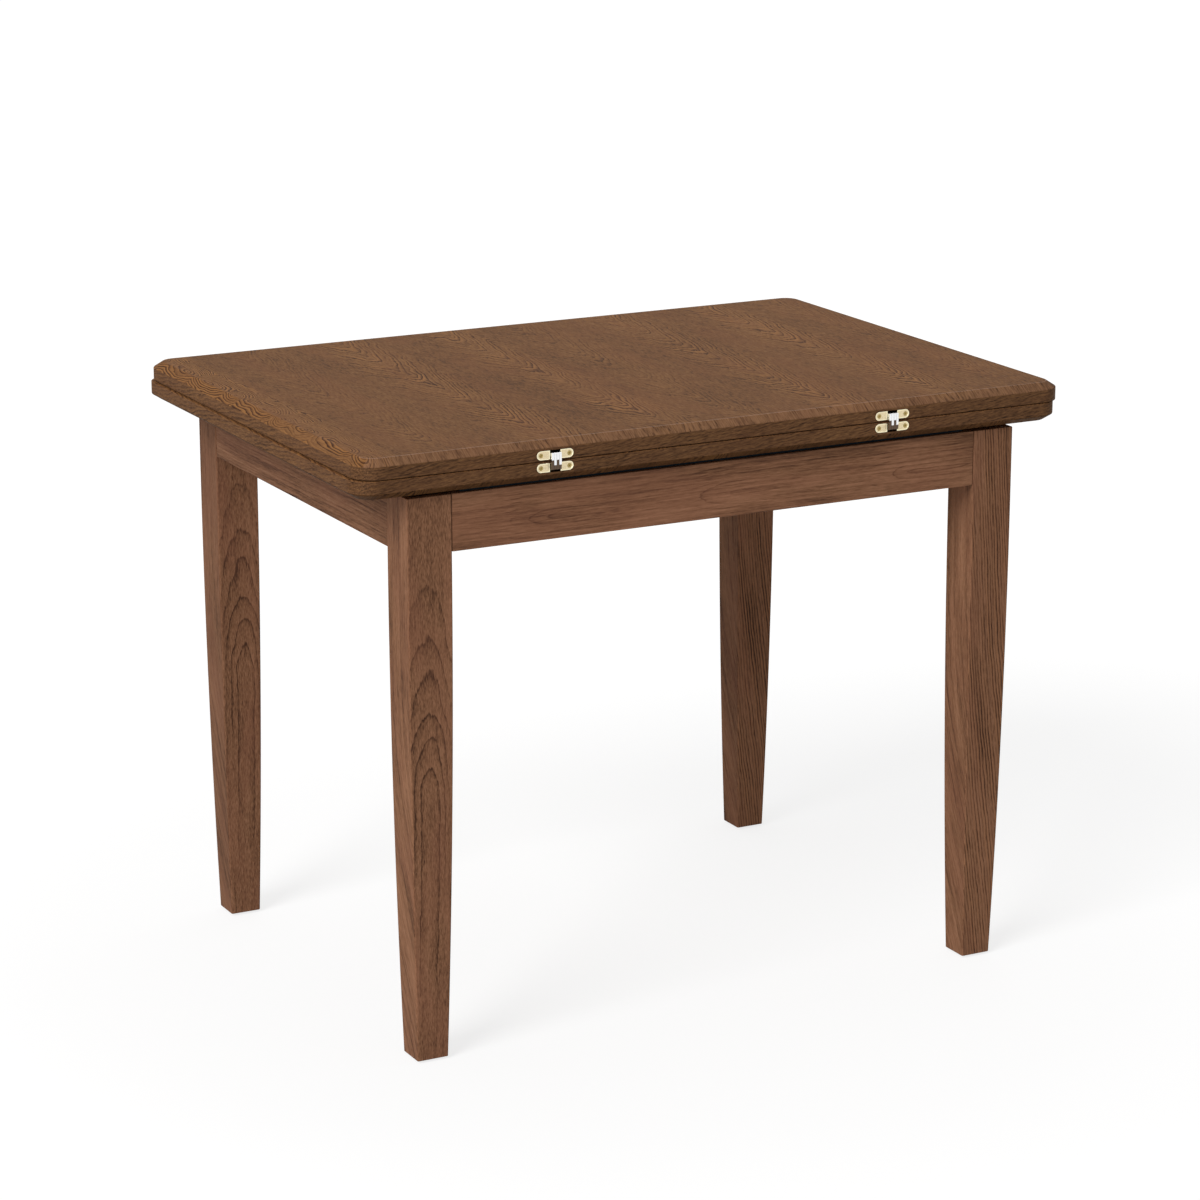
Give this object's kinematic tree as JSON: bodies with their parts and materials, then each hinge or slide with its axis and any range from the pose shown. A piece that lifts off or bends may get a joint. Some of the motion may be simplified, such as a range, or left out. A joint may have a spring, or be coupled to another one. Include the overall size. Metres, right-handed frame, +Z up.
{
  "type": "folding dining table",
  "caption": "Wooden dining table with curved tapered legs, a bevelled flip top on concealed hinges, and a sliding carriage that centres the opened top.",
  "frame": {"origin": "on the floor under the middle of the folded top", "axes": "+Z up; +X along the hinge edge, the longer side of the folded top; -Y is the front, where the hinges show"},
  "size_m": [0.9646, 0.6695, 0.75],
  "materials": {
    "wood_frame": "satin",
    "wood_top": "satin",
    "wood_inner": "satin",
    "brass": "satin",
    "steel": "satin",
    "felt": "matte",
    "rubber": "matte"
  },
  "bodies": {
    "frame": {"leg_front_left": "wood_frame", "leg_front_right": "wood_frame", "leg_back_left": "wood_frame", "leg_back_right": "wood_frame", "apron_front": "wood_frame", "apron_back": "wood_frame", "apron_left": "wood_frame", "apron_right": "wood_frame", "block_front_left": "wood_inner", "block_front_right": "wood_inner", "block_back_left": "wood_inner", "block_back_right": "wood_inner", "block_bolts": "steel", "block_washers": "steel", "block_nuts": "steel", "block_screws": "steel", "foot_glides": "rubber", "rail_left": "wood_inner", "rail_right": "wood_inner", "stop_front": "wood_inner", "stop_back": "wood_inner", "stop_pads": "rubber", "felt_front": "felt", "felt_back": "felt", "felt_left": "felt", "felt_right": "felt"},
    "lower_top": {"lower_leaf": "wood_top", "carriage_board": "wood_inner", "cleat_left": "wood_inner", "cleat_right": "wood_inner", "carriage_screws": "steel", "cup_left_lower": "brass", "cup_right_lower": "brass", "hinge_screws_lower": "brass", "hinge_pins_lower": "steel"},
    "upper_top": {"upper_leaf": "wood_top", "cup_left_upper": "brass", "cup_right_upper": "brass", "hinge_screws_upper": "brass", "hinge_pins_upper": "steel"},
    "link_left_lower": {"link_left_lower": "steel"},
    "link_right_lower": {"link_right_lower": "steel"},
    "link_left_upper": {"link_left_upper": "steel"},
    "link_right_upper": {"link_right_upper": "steel"}
  },
  "joints": [
    {"name": "top_slide", "type": "slide", "parent": "frame", "child": "lower_top", "axis": [0, 1, 0], "range_m": [0, 0.333]},
    {"name": "leaf_fold", "type": "hinge", "parent": "lower_top", "child": "upper_top", "pos_m": [0, -0.333, 0.7257], "axis": [1, 0, 0], "range_deg": [0, 180]},
    {"name": "link_turn_left_lower", "type": "hinge", "parent": "lower_top", "child": "link_left_lower", "pos_m": [-0.23, -0.3282, 0.7211], "axis": [1, 0, 0], "range_deg": [0, 87]},
    {"name": "link_turn_left_upper", "type": "hinge", "parent": "upper_top", "child": "link_left_upper", "pos_m": [-0.23, -0.3282, 0.7303], "axis": [1, 0, 0], "range_deg": [-87, 0]},
    {"name": "link_turn_right_lower", "type": "hinge", "parent": "lower_top", "child": "link_right_lower", "pos_m": [0.23, -0.3282, 0.7211], "axis": [1, 0, 0], "range_deg": [0, 87]},
    {"name": "link_turn_right_upper", "type": "hinge", "parent": "upper_top", "child": "link_right_upper", "pos_m": [0.23, -0.3282, 0.7303], "axis": [1, 0, 0], "range_deg": [-87, 0]}
  ],
  "couplings": [
    {"joint": "link_turn_left_lower", "follows": "leaf_fold", "ratio": 0.48},
    {"joint": "link_turn_left_upper", "follows": "leaf_fold", "ratio": -0.48},
    {"joint": "link_turn_right_lower", "follows": "leaf_fold", "ratio": 0.48},
    {"joint": "link_turn_right_upper", "follows": "leaf_fold", "ratio": -0.48}
  ]
}
